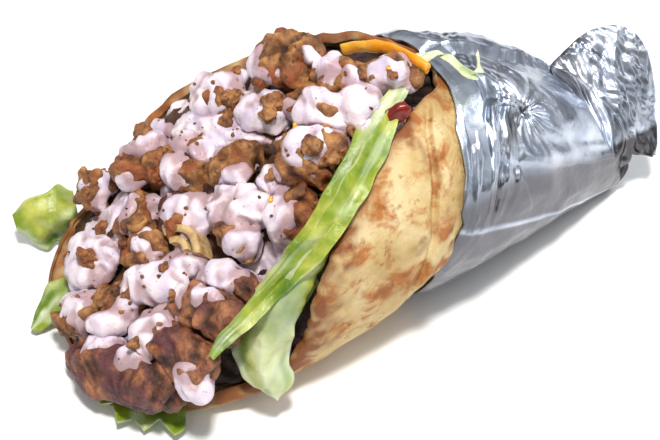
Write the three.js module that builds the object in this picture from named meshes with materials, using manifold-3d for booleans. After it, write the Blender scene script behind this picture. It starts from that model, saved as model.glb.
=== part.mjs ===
// A gyro wrap lying on its side: a folded pita round a filling of sliced meat, sauce, lettuce,
// onion, pepper and tomato, its rear half in crumpled foil whose tail is pinched to an upright fin.
// Millimetres, +Z up. The mouth of the wrap points along -X and the foil's tail along +X.
import * as THREE from "three";
import { mergeVertices } from "three/addons/utils/BufferGeometryUtils.js";
import Module from "manifold-3d";

const wasm = await Module();
wasm.setup();

// ---------------------------------------------------------------- driving dimensions
const GAP = 0.3; // clearance between pieces that touch
const PITA_THICKNESS = 4;
const PITA_REAR = 9; // how far the pita's closed end lies before the tail's crease
const FOIL_THICKNESS = 1;
const FOIL_SQUEEZE = 1.2; // how much the foil narrows the pita that it covers
const CRUMPLE_HEIGHT = 1.8; // how far the foil's folds stand off its own skin
const SECTION_POWER = 2.25; // superellipse power of the cross-section
const PRESSED_FLAT = 1.5; // how much of the round underside the table flattens
const RIM_ROUNDING = 1.2; // how far the pita's cut edge rounds off
const FILLING_REAR = 17; // how far the filling's rear end lies before the tail's crease
const FILLING_RECESS = 4; // how far the filling's edge lies behind the pita's rim
const HEAP_HEIGHT = 5; // how far the filling domes out of the mouth
const RING_STEPS = 30; // points round a ring of the wrap

// Cross-sections along the wrap: half width, extra width on the far (+Y) and near (-Y) sides,
// height, height of the base, and how square the underside is (a superellipse power).
const STATIONS = [
  { x: -114, halfWidth: 38, far: 0, near: 4, height: 68, base: -1.3, underside: 4.5 },
  { x: -92, halfWidth: 43, far: 0, near: 4, height: 76, base: -1.3, underside: 4.5 },
  { x: -66, halfWidth: 47, far: 0, near: 3, height: 84, base: -1.3, underside: 4.5 },
  { x: -35, halfWidth: 47, far: 0, near: 1, height: 86, base: -1.3, underside: 3.2 },
  { x: 0, halfWidth: 43.5, far: 0, near: -1, height: 82, base: 0, underside: 2.1 },
  { x: 26, halfWidth: 37, far: -0.5, near: -3.5, height: 71, base: 0, underside: 1.9 },
  { x: 54, halfWidth: 28, far: 2, near: -4.5, height: 55.5, base: 0, underside: 1.85 },
  { x: 77, halfWidth: 17.5, far: 4, near: -4, height: 38, base: 0, underside: 1.95 },
  { x: 92, halfWidth: 9, far: 2, near: -3, height: 24, base: 0, underside: 2.25 },
];

// The pita's rim: how far forward its edge lies at each angle round the wrap.
// 0 is the far side (+Y), 90 the top, 180 the near side (-Y) and 270 the underside.
const PITA_RIM = [
  { angle: 0, x: -59 },
  { angle: 15, x: -41 },
  { angle: 30, x: -14 },
  { angle: 60, x: 12 },
  { angle: 90, x: 21 },
  { angle: 120, x: -4 },
  { angle: 150, x: -27 },
  { angle: 180, x: -40 },
  { angle: 200, x: -46 },
  { angle: 225, x: -73 },
  { angle: 250, x: -97 },
  { angle: 280, x: -102 },
  { angle: 315, x: -95 },
  { angle: 340, x: -83 },
];

const FOIL_EDGE_SIDE = 8; // where the foil's front edge crosses the sides
const FOIL_EDGE_SLANT = 12; // how much further back it lies on top, and forward underneath
const RIDGE = { angle: 52, halfWidth: 10, height: 2.6, startX: 12, fullX: 52 };

// The tail is pinched along a slanted crease, and what is left of the foil fans out of it.
const TAIL_X = 79;
const TAIL_SLANT = 9;
const TAIL_ANGLE = 60; // where the crease lies furthest forward
const FIN_THICKNESS = 5;
const FIN_ROOT = [[89, -10, 18], [84, -3, 31], [77, 8, 39], [70, 16, 42]];
const FIN_EDGE = [[99, -10, 13], [102, -1, 28], [99, 12, 44], [81, 19, 46]];

// The mouth of the wrap is a slanted oval. Its frame: u climbs the slope, v runs to the far side,
// n points out of the mouth.
const MOUTH_CENTRE = new THREE.Vector3(-40, 0, 48);
const MOUTH_SLOPE = THREE.MathUtils.degToRad(35);

// ---------------------------------------------------------------- numbers
const radians = THREE.MathUtils.degToRad;

// A smooth value between the rows of a table, by cubic steps.
function between(rows, key, value, at) {
  let i = 0;
  while (i < rows.length - 2 && at > rows[i + 1][key]) i += 1;
  const slope = (k) => {
    const before = rows[Math.max(k - 1, 0)];
    const after = rows[Math.min(k + 1, rows.length - 1)];
    return (after[value] - before[value]) / (after[key] - before[key]);
  };
  const span = rows[i + 1][key] - rows[i][key];
  const t = THREE.MathUtils.clamp((at - rows[i][key]) / span, 0, 1);
  const rise = rows[i + 1][value] - rows[i][value];
  const ease = t * t * (3 - 2 * t);
  const lead = t * (1 - t) * (1 - t) * slope(i) * span;
  const tail = t * t * (1 - t) * slope(i + 1) * span;
  return rows[i][value] + ease * rise + lead - tail;
}

// Smooth unevenness between about -1 and 1 for a point; size is the width of one bump.
function unevenness(point, size, seed) {
  const k = Math.PI / size;
  const a = Math.sin(k * (point.x + 0.6 * point.y) + 1.7 * seed);
  const b = Math.sin(k * (point.y - 0.7 * point.z) * 1.13 + 2.9 * seed);
  const c = Math.sin(k * (point.z + 0.5 * point.x) * 0.91 + 4.1 * seed);
  return 0.5 * (a * b + b * c + c * a) + 0.25 * (a + b + c) * Math.cos(seed);
}

// ---------------------------------------------------------------- meshes and solids
function geometryFrom(points, triangles) {
  const geometry = new THREE.BufferGeometry();
  const numbers = points.flatMap((point) => [point.x, point.y, point.z]);
  geometry.setAttribute("position", new THREE.Float32BufferAttribute(numbers, 3));
  geometry.setIndex(triangles);
  return geometry;
}

// A closed body through rings of points, with a point at each end. A first ring that is folded
// flat closes itself.
function ringBody(firstPoint, rings, lastPoint, foldedFirst = false) {
  const count = rings[0].length;
  const points = [firstPoint, ...rings.flat(), lastPoint];
  const last = points.length - 1;
  const index = (ring, step) => 1 + ring * count + (step % count);
  const triangles = [];
  for (let step = 0; step < count; step += 1) {
    if (!foldedFirst) triangles.push(0, index(0, step), index(0, step + 1));
    for (let ring = 0; ring < rings.length - 1; ring += 1) {
      const a = index(ring, step);
      const b = index(ring, step + 1);
      const c = index(ring + 1, step + 1);
      const d = index(ring + 1, step);
      triangles.push(a, d, b, b, d, c);
    }
    triangles.push(last, index(rings.length - 1, step + 1), index(rings.length - 1, step));
  }
  return geometryFrom(points, triangles);
}

// A closed thin sheet: pointAt(along, across) gives its middle surface for 0..1 and -1..1.
function sheetBody(pointAt, alongSteps, acrossSteps, thickness) {
  const points = [];
  const nudge = 0.01;
  const sides = [0.5, -0.5];
  for (const side of sides) {
    for (let i = 0; i <= alongSteps; i += 1) {
      for (let j = 0; j <= acrossSteps; j += 1) {
        const along = i / alongSteps;
        const across = (2 * j) / acrossSteps - 1;
        const middle = pointAt(along, across);
        const alongWay = pointAt(along + nudge, across).sub(pointAt(along - nudge, across));
        const acrossWay = pointAt(along, across + nudge).sub(pointAt(along, across - nudge));
        const normal = alongWay.cross(acrossWay).normalize();
        points.push(middle.addScaledVector(normal, side * thickness));
      }
    }
  }
  const sheet = (alongSteps + 1) * (acrossSteps + 1);
  const index = (side, i, j) => side * sheet + i * (acrossSteps + 1) + j;
  const triangles = [];
  const quad = (a, b, c, d) => triangles.push(a, b, c, a, c, d);
  for (let i = 0; i < alongSteps; i += 1) {
    for (let j = 0; j < acrossSteps; j += 1) {
      quad(index(0, i, j), index(0, i + 1, j), index(0, i + 1, j + 1), index(0, i, j + 1));
      quad(index(1, i, j), index(1, i, j + 1), index(1, i + 1, j + 1), index(1, i + 1, j));
    }
    const end = acrossSteps;
    quad(index(0, i, 0), index(1, i, 0), index(1, i + 1, 0), index(0, i + 1, 0));
    quad(index(0, i, end), index(0, i + 1, end), index(1, i + 1, end), index(1, i, end));
  }
  for (let j = 0; j < acrossSteps; j += 1) {
    const end = alongSteps;
    quad(index(0, 0, j), index(0, 0, j + 1), index(1, 0, j + 1), index(1, 0, j));
    quad(index(0, end, j), index(1, end, j), index(1, end, j + 1), index(0, end, j + 1));
  }
  return geometryFrom(points, triangles);
}

function solidFrom(geometry) {
  const bare = geometry.clone();
  bare.deleteAttribute("normal");
  bare.deleteAttribute("uv");
  const merged = mergeVertices(bare, 1e-4);
  return new wasm.Manifold(
    new wasm.Mesh({
      numProp: 3,
      vertProperties: merged.attributes.position.array,
      triVerts: new Uint32Array(merged.index.array),
    }),
  );
}

// The largest body of a solid, so that a cut leaves no crumbs.
function largestBody(solid) {
  return solid.decompose().reduce((best, body) => (body.volume() > best.volume() ? body : best));
}

function geometryOfSolid(solid) {
  const mesh = solid.getMesh();
  const geometry = new THREE.BufferGeometry();
  geometry.setAttribute("position", new THREE.BufferAttribute(mesh.vertProperties, 3));
  geometry.setIndex(new THREE.BufferAttribute(mesh.triVerts, 1));
  return geometry;
}

// ---------------------------------------------------------------- the wrap's own surface
// A point on the pita's outer skin, moved inward by inset.
function wrapPoint(x, angle, inset) {
  const cosine = Math.cos(radians(angle));
  const sine = Math.sin(radians(angle));
  const power = 2 / (sine < 0 ? between(STATIONS, "x", "underside", x) : SECTION_POWER);
  const bulge = between(STATIONS, "x", cosine < 0 ? "near" : "far", x) * Math.abs(cosine);
  const halfWidth = between(STATIONS, "x", "halfWidth", x) - inset + bulge;
  const halfHeight = between(STATIONS, "x", "height", x) / 2;
  const base = between(STATIONS, "x", "base", x);
  const y = halfWidth * Math.sign(cosine) * Math.abs(cosine) ** power;
  const rise = (halfHeight - inset) * Math.sign(sine) * Math.abs(sine) ** power;
  const z = Math.max(halfHeight - PRESSED_FLAT + rise, inset);
  return new THREE.Vector3(x, y, z + base);
}

function ringOf(pointAt) {
  return Array.from({ length: RING_STEPS }, (_, step) => pointAt((360 * step) / RING_STEPS));
}

function middleOf(ring) {
  const sum = ring.reduce((total, point) => total.add(point), new THREE.Vector3());
  return sum.divideScalar(ring.length);
}

function rimX(angle) {
  const turn = THREE.MathUtils.euclideanModulo(angle, 360);
  const before = PITA_RIM.map((row) => ({ angle: row.angle - 360, x: row.x }));
  const after = PITA_RIM.map((row) => ({ angle: row.angle + 360, x: row.x }));
  return between([...before.slice(-2), ...PITA_RIM, ...after.slice(0, 2)], "angle", "x", turn);
}

function foilEdgeX(angle) {
  const wave = 1.2 * Math.sin(radians(5 * angle)) + 0.6 * Math.sin(radians(11 * angle));
  const farSide = Math.max(0, Math.cos(radians(angle)));
  return FOIL_EDGE_SIDE + FOIL_EDGE_SLANT * Math.sin(radians(angle)) - 4 * farSide + wave;
}

// Where rings lie between the pita's rim and the filling's rear end. Some stand close together
// where the pita narrows to go under the foil.
function stopsAlong(angle) {
  const edge = foilEdgeX(angle);
  const rear = tailX(angle) - FILLING_REAR;
  const open = [0.1, 0.5, 1].map((t) => THREE.MathUtils.lerp(rimX(angle), edge - 8, t));
  const covered = [0, 0.25, 0.5, 0.75, 1].map((t) => THREE.MathUtils.lerp(edge - 2, rear, t));
  return [...open, ...covered].map((x, order) => Math.max(x, rimX(angle) + 1.5 * (order + 1)));
}
const STOP_COUNT = 8;

// A point on the pita's skin, which narrows under the foil.
function pitaPoint(x, angle, inset) {
  const covered = THREE.MathUtils.smoothstep(x, foilEdgeX(angle) - 8, foilEdgeX(angle) - 2);
  return wrapPoint(x, angle, inset + FOIL_SQUEEZE * covered);
}

// ---------------------------------------------------------------- pita
// A sock of flatbread with a slanted, rounded rim, closed at the tail; grow makes it larger all round.
function pita(grow) {
  const stops = Array.from({ length: STOP_COUNT }, (_, order) => order);
  const skin = (inset, rear) => [
    ...stops.map((order) => ringOf((angle) => pitaPoint(stopsAlong(angle)[order], angle, inset))),
    ringOf((angle) => pitaPoint(tailX(angle) - rear, angle, inset)),
  ];
  const edgeAt = (inset, setback) =>
    ringOf((angle) => wrapPoint(rimX(angle) + setback - grow, angle, inset));
  const outer = skin(-grow, PITA_REAR - grow).reverse();
  const edge = [
    edgeAt(0.3 - grow, RIM_ROUNDING),
    edgeAt(1.3 - grow, 0.2),
    edgeAt(PITA_THICKNESS - 1.3 + grow, 0),
  ];
  const inner = skin(PITA_THICKNESS + grow, PITA_REAR + PITA_THICKNESS + grow);
  return ringBody(middleOf(outer[0]), [...outer, ...edge, ...inner], middleOf(inner.at(-1)));
}

// ---------------------------------------------------------------- foil
function tailX(angle) {
  return TAIL_X - TAIL_SLANT * Math.cos(radians(angle - TAIL_ANGLE));
}

// The foil's skin stands off in folds, except at its front edge and where it lies on the table.
// A folded seam stands along its far shoulder.
function foilSkin(x, angle) {
  const skin = -(GAP + FOIL_THICKNESS);
  const place = wrapPoint(x, angle, skin);
  const fromEdge = THREE.MathUtils.smoothstep(x, foilEdgeX(angle), foilEdgeX(angle) + 10);
  const lifted = THREE.MathUtils.smoothstep(place.z, 4, 26) * fromEdge;
  const fold = 0.5 + 0.35 * unevenness(place, 13, 2.3) + 0.3 * unevenness(place, 6.5, 5.1);
  const ridge =
    RIDGE.height *
    Math.exp(-(((angle - RIDGE.angle) / RIDGE.halfWidth) ** 2)) *
    THREE.MathUtils.smoothstep(x, RIDGE.startX, RIDGE.fullX);
  const height = lifted * CRUMPLE_HEIGHT * THREE.MathUtils.clamp(fold, 0, 1) + ridge;
  return wrapPoint(x, angle, skin - height);
}

// A ring of the fin: share is 0 at the crease and 1 at the fan's edge.
function finRing(share) {
  const curveOf = (points) =>
    new THREE.CatmullRomCurve3(points.map((point) => new THREE.Vector3(...point)));
  const root = curveOf(FIN_ROOT);
  const edge = curveOf(FIN_EDGE);
  return ringOf((angle) => {
    const across = 0.5 + 0.5 * Math.cos(radians(angle - TAIL_ANGLE));
    const through = Math.sin(radians(angle - TAIL_ANGLE));
    const place = root.getPoint(across).lerp(edge.getPoint(across), share);
    const reach = edge.getPoint(across).sub(root.getPoint(across));
    const outward = reach.cross(root.getTangent(across)).normalize();
    const pleat = 1.2 * share * Math.sin(9 * across + 2);
    const halfThickness = FIN_THICKNESS * (0.5 - 0.3 * share) * Math.sqrt(1 - share ** 8);
    return place.addScaledVector(outward, through * halfThickness + pleat);
  });
}

function foilWrap() {
  const along = [1, 0.92, 0.82, 0.72, 0.62, 0.52, 0.42, 0.32, 0.22, 0.12, 0.03];
  const xAt = (angle, share) => THREE.MathUtils.lerp(foilEdgeX(angle), tailX(angle), share);
  const outer = along.map((share) => ringOf((angle) => foilSkin(xAt(angle, share), angle)));
  const inner = [0, 0.12, 0.24, 0.36, 0.48, 0.6, 0.7, 0.8, 0.87, 0.94].map((share) =>
    ringOf((angle) => wrapPoint(xAt(angle, share), angle, -GAP)),
  );
  const fin = [1, 0.94, 0.66, 0.33, 0].map(finRing);
  return ringBody(middleOf(fin[0]), [...fin, ...outer, ...inner], middleOf(inner.at(-1)), true);
}

// ---------------------------------------------------------------- the mouth's own frame
const mouthFrame = new THREE.Matrix4()
  .makeRotationY(-MOUTH_SLOPE)
  .setPosition(MOUTH_CENTRE);

function mouthPoint(u, v, n) {
  return new THREE.Vector3(u, v, n).applyMatrix4(mouthFrame);
}

// ---------------------------------------------------------------- filling
// The packed filling runs through the pita and domes out of its mouth.
function fillingCore() {
  const inset = PITA_THICKNESS + 3 * GAP;
  const edgeX = (angle) => rimX(angle) + FILLING_RECESS;
  const body = Array.from({ length: STOP_COUNT }, (_, order) =>
    ringOf((angle) => {
      const x = Math.max(stopsAlong(angle)[order], edgeX(angle) + 0.3 * (order + 1));
      return pitaPoint(x, angle, inset);
    }),
  ).reverse();
  const peak = mouthPoint(2, 4, HEAP_HEIGHT);
  const face = [1, 0.84, 0.66, 0.48, 0.3, 0.14].map((share) =>
    ringOf((angle) => {
      const edge = pitaPoint(edgeX(angle), angle, inset);
      const place = peak.clone().lerp(edge, share);
      const dome = 4 * share * (1 - share) * HEAP_HEIGHT;
      const bumps = (1 - share) * 2.4 * unevenness(place, 9, 1.3);
      return place.add(new THREE.Vector3(-0.57, 0, 0.82).multiplyScalar(dome + bumps));
    }),
  );
  return ringBody(middleOf(body[0]), [...body, ...face], peak);
}

// ---------------------------------------------------------------- meat and sauce lumps
// Each piece: place in the mouth's frame, half sizes, turn in the mouth's plane, tilt out of it.
const MEAT_PIECES = {
  front_slice: { at: [-62, -27, 1], half: [22, 9, 8], turn: -50, tilt: 0 },
  lower_slice: { at: [-43, -33, 3], half: [17, 8, 8], turn: -66, tilt: 0 },
  left_slice: { at: [-60, -4, 2], half: [16, 7, 8], turn: -29, tilt: 0 },
  right_slice: { at: [-28, -33, 4], half: [13, 7, 8], turn: -46, tilt: 0 },
  dark_slice: { at: [-19, -28, 2], half: [11, 5, 8], turn: -54, tilt: 0 },
  long_piece: { at: [-33, 13, 5], half: [8, 6, 7], turn: 18, tilt: 0 },
  curled_piece: { at: [-37, 0, 5], half: [7, 6, 7], turn: -14, tilt: 0 },
  middle_piece: { at: [-9, -16, 6], half: [9, 5, 7], turn: -78, tilt: 0 },
  far_left_piece: { at: [-45, 37, 2], half: [6, 7, 6], turn: 26, tilt: 0 },
  left_large_piece: { at: [-24, 28, 5], half: [10, 8, 8], turn: -26, tilt: 0 },
  centre_large_piece: { at: [-11, 15, 6], half: [10, 8, 8], turn: -82, tilt: 0 },
  upper_left_piece: { at: [7, 30, 5], half: [9, 7, 7], turn: -5, tilt: 0 },
  top_piece: { at: [32, 20, 8], half: [11, 8, 8], turn: -51, tilt: 0 },
  centre_piece: { at: [2, 2, 6], half: [8, 7, 7], turn: -26, tilt: 0 },
  upper_right_piece: { at: [41, 4, 5], half: [9, 6, 7], turn: -55, tilt: 0 },
  top_right_piece: { at: [55, -5, 2], half: [7, 5, 6], turn: -26, tilt: 0 },
  lower_dome: { at: [23, -14, 6], half: [12, 9, 8], turn: -45, tilt: 0 },
  upper_dome: { at: [32, -2, 5], half: [11, 7, 8], turn: -62, tilt: 0 },
  under_dome: { at: [13, -19, 3], half: [7, 5, 6], turn: -44, tilt: 0 },
  lower_right_piece: { at: [8, -25, 3], half: [8, 7, 7], turn: -13, tilt: 0 },
};

const SAUCE_POOLS = {
  upper_pool: { at: [17, 13, 5], half: [8, 6, 6], turn: -46, tilt: 0 },
  right_pool: { at: [42, -9, 5], half: [7, 6, 6], turn: -46, tilt: 0 },
  middle_pool: { at: [-4, -10, 6], half: [9, 6, 6], turn: -56, tilt: 0 },
  left_pool: { at: [-55, 13, 3], half: [11, 8, 6], turn: -43, tilt: 0 },
  lower_pool: { at: [-40, -9, 4], half: [13, 7, 6], turn: -42, tilt: 0 },
};

const LARGE_LUMP = 9; // lumps longer than this from the middle have the finer mesh

// An uneven lump with flattened sides; grow makes it larger all round.
function lump(piece, seed, grow) {
  const [length, width, depth] = piece.half;
  const geometry = new THREE.IcosahedronGeometry(1, length > LARGE_LUMP ? 2 : 1);
  const position = geometry.attributes.position;
  for (let i = 0; i < position.count; i += 1) {
    const way = new THREE.Vector3().fromBufferAttribute(position, i);
    const boxy = (Math.abs(way.x) ** 3 + Math.abs(way.y) ** 3 + Math.abs(way.z) ** 3) ** (-1 / 3);
    const size = boxy * (1 + 0.16 * unevenness(way, 0.8, seed));
    position.setXYZ(
      i,
      way.x * (size * length + grow),
      way.y * (size * width + grow),
      way.z * (size * depth + grow),
    );
  }
  geometry.rotateY(radians(piece.tilt));
  geometry.rotateZ(radians(piece.turn));
  geometry.translate(...piece.at);
  return geometry.applyMatrix4(mouthFrame);
}

// ---------------------------------------------------------------- leaves, onion, pepper, tomato
// A leaf along a route: each stop gives the middle of the leaf and the way to its outer edge.
// grow makes the leaf larger all round.
function leaf({ stops, ruffle, steps }, grow) {
  const route = new THREE.CatmullRomCurve3(stops.map((stop) => new THREE.Vector3(...stop.at)));
  const across = new THREE.CatmullRomCurve3(stops.map((stop) => new THREE.Vector3(...stop.across)));
  const length = route.getLength();
  const pointAt = (along, side) => {
    const t = 0.5 + (along - 0.5) * (1 + (2 * grow) / length);
    const within = THREE.MathUtils.clamp(t, 0, 1);
    const tangent = route.getTangent(within);
    const way = across.getPoint(within);
    const normal = tangent.clone().cross(way).normalize();
    const cupping = 0.25 * side * side * way.length();
    const wave = ruffle * Math.abs(side) * Math.sin(along * 19 + side * 2.1);
    return route
      .getPoint(within)
      .addScaledVector(tangent, (t - within) * length)
      .addScaledVector(way, side * (1 + grow / way.length()))
      .addScaledVector(normal, wave + cupping);
  };
  return sheetBody(pointAt, steps, 4, LEAF_THICKNESS + 2 * grow);
}

// Each leaf: stops with the middle of the leaf and the way to its outer edge, as long as its half width.
const LEAVES = {
  front_leaf: {
    stops: [
      { at: [-54, -51, 12], across: [1.5, -1, 0] },
      { at: [-55, -50, 18], across: [4, -2, 0] },
      { at: [-56, -47, 25], across: [7, -3, 0] },
      { at: [-53, -44, 36], across: [8, -4, -1] },
      { at: [-48, -43, 46], across: [6, -4, -1] },
      { at: [-41, -41, 55], across: [3, -4, -1] },
      { at: [-33, -38, 63], across: [2, -3.4, -1.6] },
      { at: [-24, -32, 70], across: [2, -3.4, -2] },
      { at: [-8, -19, 77], across: [2, -3.4, -2] },
      { at: [3, -11, 80], across: [1.6, -3, -1.4] },
      { at: [12, -3, 81], across: [1, -2, -1] },
      { at: [18, -2, 82], across: [1, -2, 0] },
      { at: [22, -5, 81], across: [1.6, 0.5, 1] },
      { at: [25, -11, 78.5], across: [1.6, 0.5, 1] },
      { at: [29, -10, 78.5], across: [1, 1, 1] },
      { at: [31, -6, 81], across: [0.8, 0.6, 0.4] },
    ],
    ruffle: 1,
    steps: 20,
  },
  inner_leaf: {
    stops: [
      { at: [0, -20, 73], across: [2, -3, -3] },
      { at: [-10, -27, 70], across: [4, -5, -5] },
      { at: [-22, -35, 62], across: [5, -6, -5] },
      { at: [-33, -40, 50], across: [4, -5, -4] },
      { at: [-41, -41, 36], across: [3, -2, -2] },
    ],
    ruffle: 0.8,
    steps: 9,
  },
  side_leaf: {
    stops: [
      { at: [-84, 43, 16], across: [0, 2, 8] },
      { at: [-91, 44, 13], across: [0, 4, 10] },
      { at: [-98, 46, 12], across: [-1, 4, 9] },
      { at: [-104, 48, 11], across: [-1, 1, 3] },
    ],
    ruffle: 0.8,
    steps: 7,
  },
  corner_leaf: {
    stops: [
      { at: [-92, 14, 8], across: [-2, 6, 1] },
      { at: [-99, 15, 7], across: [-2, 6, 1] },
      { at: [-105, 13, 4.5], across: [-1.5, 4, 0] },
      { at: [-111, 10, 2], across: [-0.5, 1, 0] },
    ],
    ruffle: 0.5,
    steps: 7,
  },
  lip_leaf: {
    stops: [
      { at: [-101, -14, 4.5], across: [-4, -2, -1] },
      { at: [-97, -21, 4.3], across: [-4, -4, -1] },
      { at: [-91, -27, 4.2], across: [-4, -5, -1] },
      { at: [-84, -31, 4.2], across: [-3, -6, -1] },
      { at: [-77, -35, 4.4], across: [-2, -5, -1] },
    ],
    ruffle: 0.4,
    steps: 9,
  },
};
const LEAF_THICKNESS = 1.4;

const TRIMMINGS = {
  onion_slice: { at: [-25, -10, 5], half: [8, 7, 3.5], turn: 20, tilt: 12 },
  tomato_slice: { at: [50, -18, 3], half: [5, 2.6, 3.5], turn: 0, tilt: 0 },
};

// The pepper strip bends along the far rim, under the foil's edge.
const PEPPER_ROUTE = [[-3, 17, 75], [2, 12, 79], [7, 5, 82], [11, -2, 83], [14, -8, 82]];
const PEPPER_HALF_WIDTH = 2.6;
const PEPPER_HALF_THICKNESS = 1.5;

function pepperStrip(grow) {
  const route = new THREE.CatmullRomCurve3(PEPPER_ROUTE.map((point) => new THREE.Vector3(...point)));
  const section = new THREE.Shape();
  section.absellipse(0, 0, PEPPER_HALF_WIDTH + grow, PEPPER_HALF_THICKNESS + grow, 0, 2 * Math.PI);
  return new THREE.ExtrudeGeometry(section, { steps: 12, curveSegments: 5, extrudePath: route });
}

// ---------------------------------------------------------------- assembly
const look = (color, roughness, metalness = 0) => ({ color, roughness, metalness });
const LOOKS = {
  foil: look(0x9fa5ad, 0.28, 1),
  pita: look(0xd8b27c, 0.8),
  filling: look(0x5b3622, 0.7),
  meat: look(0x875136, 0.6),
  sauce: look(0xfbf0ee, 0.35),
  lettuce: look(0x9dbb3a, 0.45),
  pepper: look(0xe3af47, 0.4),
};

const model = new THREE.Group();

function add(name, geometry, finish) {
  const mesh = new THREE.Mesh(geometry, new THREE.MeshStandardMaterial(finish));
  mesh.name = name;
  model.add(mesh);
}

const pitaRoom = solidFrom(pita(GAP));
add("foil_wrap", foilWrap(), LOOKS.foil);
add("pita", pita(0), LOOKS.pita);

// Pieces are cut where they meet the pita and the pieces before them, and the core makes room.
const clearance = [pitaRoom];
let core = solidFrom(fillingCore());
function addPiece(name, geometry, roomGeometry, finish) {
  let solid = solidFrom(geometry);
  for (const taken of clearance) solid = solid.subtract(taken);
  const room = solidFrom(roomGeometry);
  clearance.push(room);
  core = core.subtract(room);
  add(name, geometryOfSolid(largestBody(solid)), finish);
}

function addLumps(pieces, prefix, finish) {
  Object.entries(pieces).forEach(([name, piece], order) => {
    const seed = order + 1.5;
    addPiece(prefix + name, lump(piece, seed, 0), lump(piece, seed, GAP), finish);
  });
}

addLumps(MEAT_PIECES, "meat_", LOOKS.meat);
addPiece("pepper_strip", pepperStrip(0), pepperStrip(GAP), LOOKS.pepper);
Object.entries(LEAVES).forEach(([name, shape]) => {
  addPiece("lettuce_" + name, leaf(shape, 0), leaf(shape, GAP), LOOKS.lettuce);
});
addLumps(TRIMMINGS, "", LOOKS.pepper);
addLumps(SAUCE_POOLS, "sauce_", LOOKS.sauce);
add("filling_core", geometryOfSolid(largestBody(core)), LOOKS.filling);

// The origin is on the table, under the middle of the whole.
const extent = new THREE.Box3().setFromObject(model);
const middle = extent.getCenter(new THREE.Vector3());
model.position.set(-middle.x, -middle.y, -extent.min.z);

export default model;
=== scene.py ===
"""The looks of a gyro wrap: grilled meat, white sauce and lettuce in a folded pita, its rear half in foil.

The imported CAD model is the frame. Lengths are millimetres until a mesh is made, +Z is up, the mouth
of the wrap points along -X and the foil's tail along +X. Angles round the wrap run from the far side
(0), over the top (90) and the near side (180) to the underside (270).
"""

import itertools
import math

import bmesh
import bpy
import numpy as np
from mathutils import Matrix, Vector
from mathutils.bvhtree import BVHTree


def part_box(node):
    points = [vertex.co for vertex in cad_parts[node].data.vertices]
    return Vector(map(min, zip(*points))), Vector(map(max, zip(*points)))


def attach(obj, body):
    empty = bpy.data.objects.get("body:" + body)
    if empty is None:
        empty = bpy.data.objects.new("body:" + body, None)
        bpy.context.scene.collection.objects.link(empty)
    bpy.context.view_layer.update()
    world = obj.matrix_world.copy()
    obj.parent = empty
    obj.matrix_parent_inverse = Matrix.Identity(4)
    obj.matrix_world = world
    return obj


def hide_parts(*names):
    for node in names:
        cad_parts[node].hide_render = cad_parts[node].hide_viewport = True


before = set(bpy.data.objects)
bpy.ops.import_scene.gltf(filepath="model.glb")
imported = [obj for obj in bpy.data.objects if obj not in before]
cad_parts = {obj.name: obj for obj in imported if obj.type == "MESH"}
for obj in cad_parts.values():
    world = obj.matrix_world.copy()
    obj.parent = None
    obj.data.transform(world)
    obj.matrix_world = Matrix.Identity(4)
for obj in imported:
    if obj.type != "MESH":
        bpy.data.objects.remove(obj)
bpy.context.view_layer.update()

MM = 0.001
MOUTH_SLOPE = math.radians(35)
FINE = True


# ---------------------------------------------------------------- numbers
def smoothstep(low, high, value):
    t = np.clip((value - low) / (high - low), 0, 1)
    return t * t * (3 - 2 * t)


def bell(distance, width):
    """1 where the distance is 0, fading to nearly 0 at twice the width."""
    return np.exp(-((distance / width) ** 2))


def hashed(cells, seed):
    """One random value from 0 to 1 for each whole-numbered cell."""
    h = (cells[:, 0] * 73856093) ^ (cells[:, 1] * 19349663) ^ (cells[:, 2] * 83492791)
    h = (h ^ (seed * 40503 + 977)) * 1274126177
    h = (h ^ (h >> 15)) * 668265263
    return ((h ^ (h >> 13)) & 0xFFFFFF) / 0xFFFFFF


def noise(points, size, seed=0):
    """Smooth random values from -1 to 1, one bump about every size millimetres."""
    scaled = points / size + 0.37 * seed
    low = np.floor(scaled).astype(np.int64)
    t = scaled - low
    t = t * t * (3 - 2 * t)
    total = np.zeros(len(points))
    for corner in itertools.product((0, 1), repeat=3):
        weight = np.prod(np.where(corner, t, 1 - t), axis=1)
        total += weight * hashed(low + corner, seed)
    return 2 * total - 1


def grains(points, size, seed=0):
    """Rounded grains packed together: about 1 in the middle of a grain and 0 between grains."""
    scaled = points / size
    low = np.floor(scaled).astype(np.int64)
    nearest = np.full(len(points), 9.0)
    for corner in itertools.product((-1, 0, 1), repeat=3):
        cell = low + corner
        middle = np.stack([hashed(cell, seed + k) for k in range(3)], axis=1) + cell
        nearest = np.minimum(nearest, ((middle - scaled) ** 2).sum(axis=1))
    return 1 - np.sqrt(nearest)


def folds(points, widths, seed):
    """Straight creases that cross each other, as in crumpled foil, from about 0 to 1."""
    ways = np.random.default_rng(seed).normal(size=(len(widths), 3))
    total = np.zeros(len(points))
    for order, (width, way) in enumerate(zip(widths, ways)):
        phase = points @ way / np.linalg.norm(way) / width + noise(points, 2.2 * width, seed + order)
        total += width * np.abs(2 * (phase % 1) - 1)
    return total / sum(widths)


# ---------------------------------------------------------------- meshes
def material_slot(obj, material):
    obj.data.materials.clear()
    obj.data.materials.append(material)


def in_scene(name, data):
    obj = bpy.data.objects.new(name, data)
    bpy.context.scene.collection.objects.link(obj)
    return obj


def make_piece(name, points, faces, material, replaced=()):
    """A mesh that rides on the part, from points in millimetres."""
    mesh = bpy.data.meshes.new(name)
    mesh.from_pydata([tuple(p) for p in np.asarray(points) * MM], [], [tuple(f) for f in faces])
    obj = in_scene(name, mesh)
    finish_piece(obj, material, replaced)
    return obj


def finish_piece(obj, material, replaced=()):
    obj.data.polygons.foreach_set("use_smooth", [True] * len(obj.data.polygons))
    material_slot(obj, material)
    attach(obj, "root")
    if replaced:
        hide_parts(*replaced)


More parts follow.
